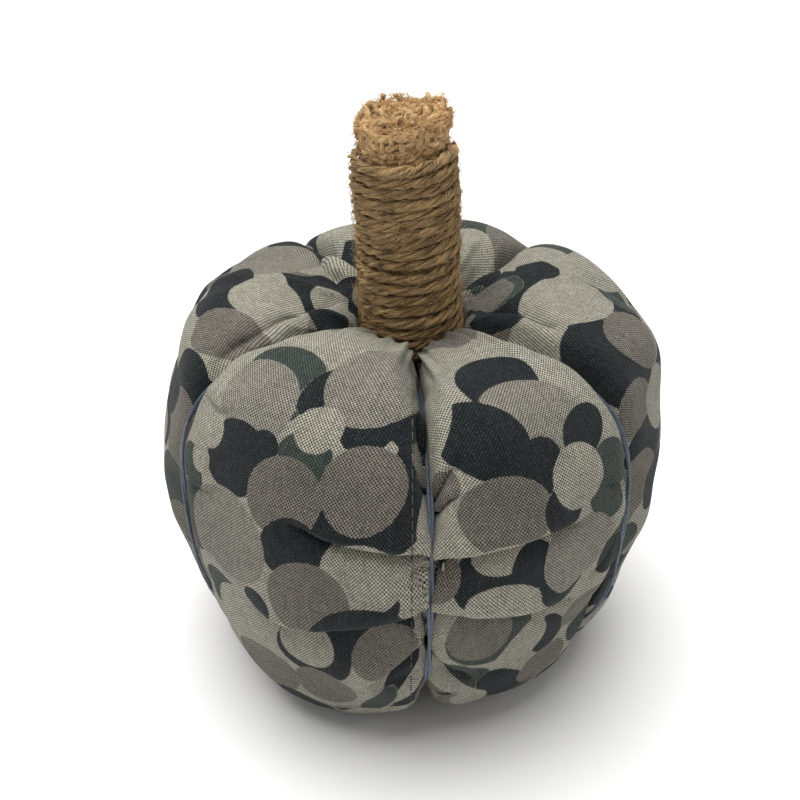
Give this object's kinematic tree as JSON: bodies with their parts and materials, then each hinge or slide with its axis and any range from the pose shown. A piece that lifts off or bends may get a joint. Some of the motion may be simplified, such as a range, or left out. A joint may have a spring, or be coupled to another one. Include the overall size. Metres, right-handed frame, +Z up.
{
  "type": "stuffed fabric pumpkin",
  "caption": "Stuffed fabric pumpkin with gathered lobes, doubled threads in its creases and a stem of rolled burlap wound with twine.",
  "frame": {"origin": "on the surface that the pumpkin stands on, under the middle of its outline", "axes": "+Z up, along the core; the front, with the crease nearest the side seam, is -Y; +X is to the right of the front"},
  "size_m": [0.1264, 0.1242, 0.1464],
  "materials": {
    "canvas": "printed cotton canvas, plain weave, in a camouflage print of overlapping discs",
    "fill": "white polyester fibrefill",
    "sewing_thread": "dark sewing thread",
    "rib_thread": "slate blue doubled thread, slightly shiny",
    "burlap": "woven jute burlap, frayed at its edge",
    "twine": "twisted jute twine, hairy",
    "glue": "clear amber hot glue"
  },
  "bodies": {
    "root": {"fabric_cover": "canvas", "fibrefill": "fill", "side_seam_thread": "sewing_thread", "top_gather_thread": "sewing_thread", "bottom_gather_thread": "sewing_thread", "rib_thread_front": "rib_thread", "rib_thread_right": "rib_thread", "rib_thread_back_right": "rib_thread", "rib_thread_back_left": "rib_thread", "rib_thread_left": "rib_thread", "burlap_roll": "burlap", "twine_wrap": "twine", "stem_glue": "glue", "twine_end_glue": "glue"}
  },
  "joints": []
}
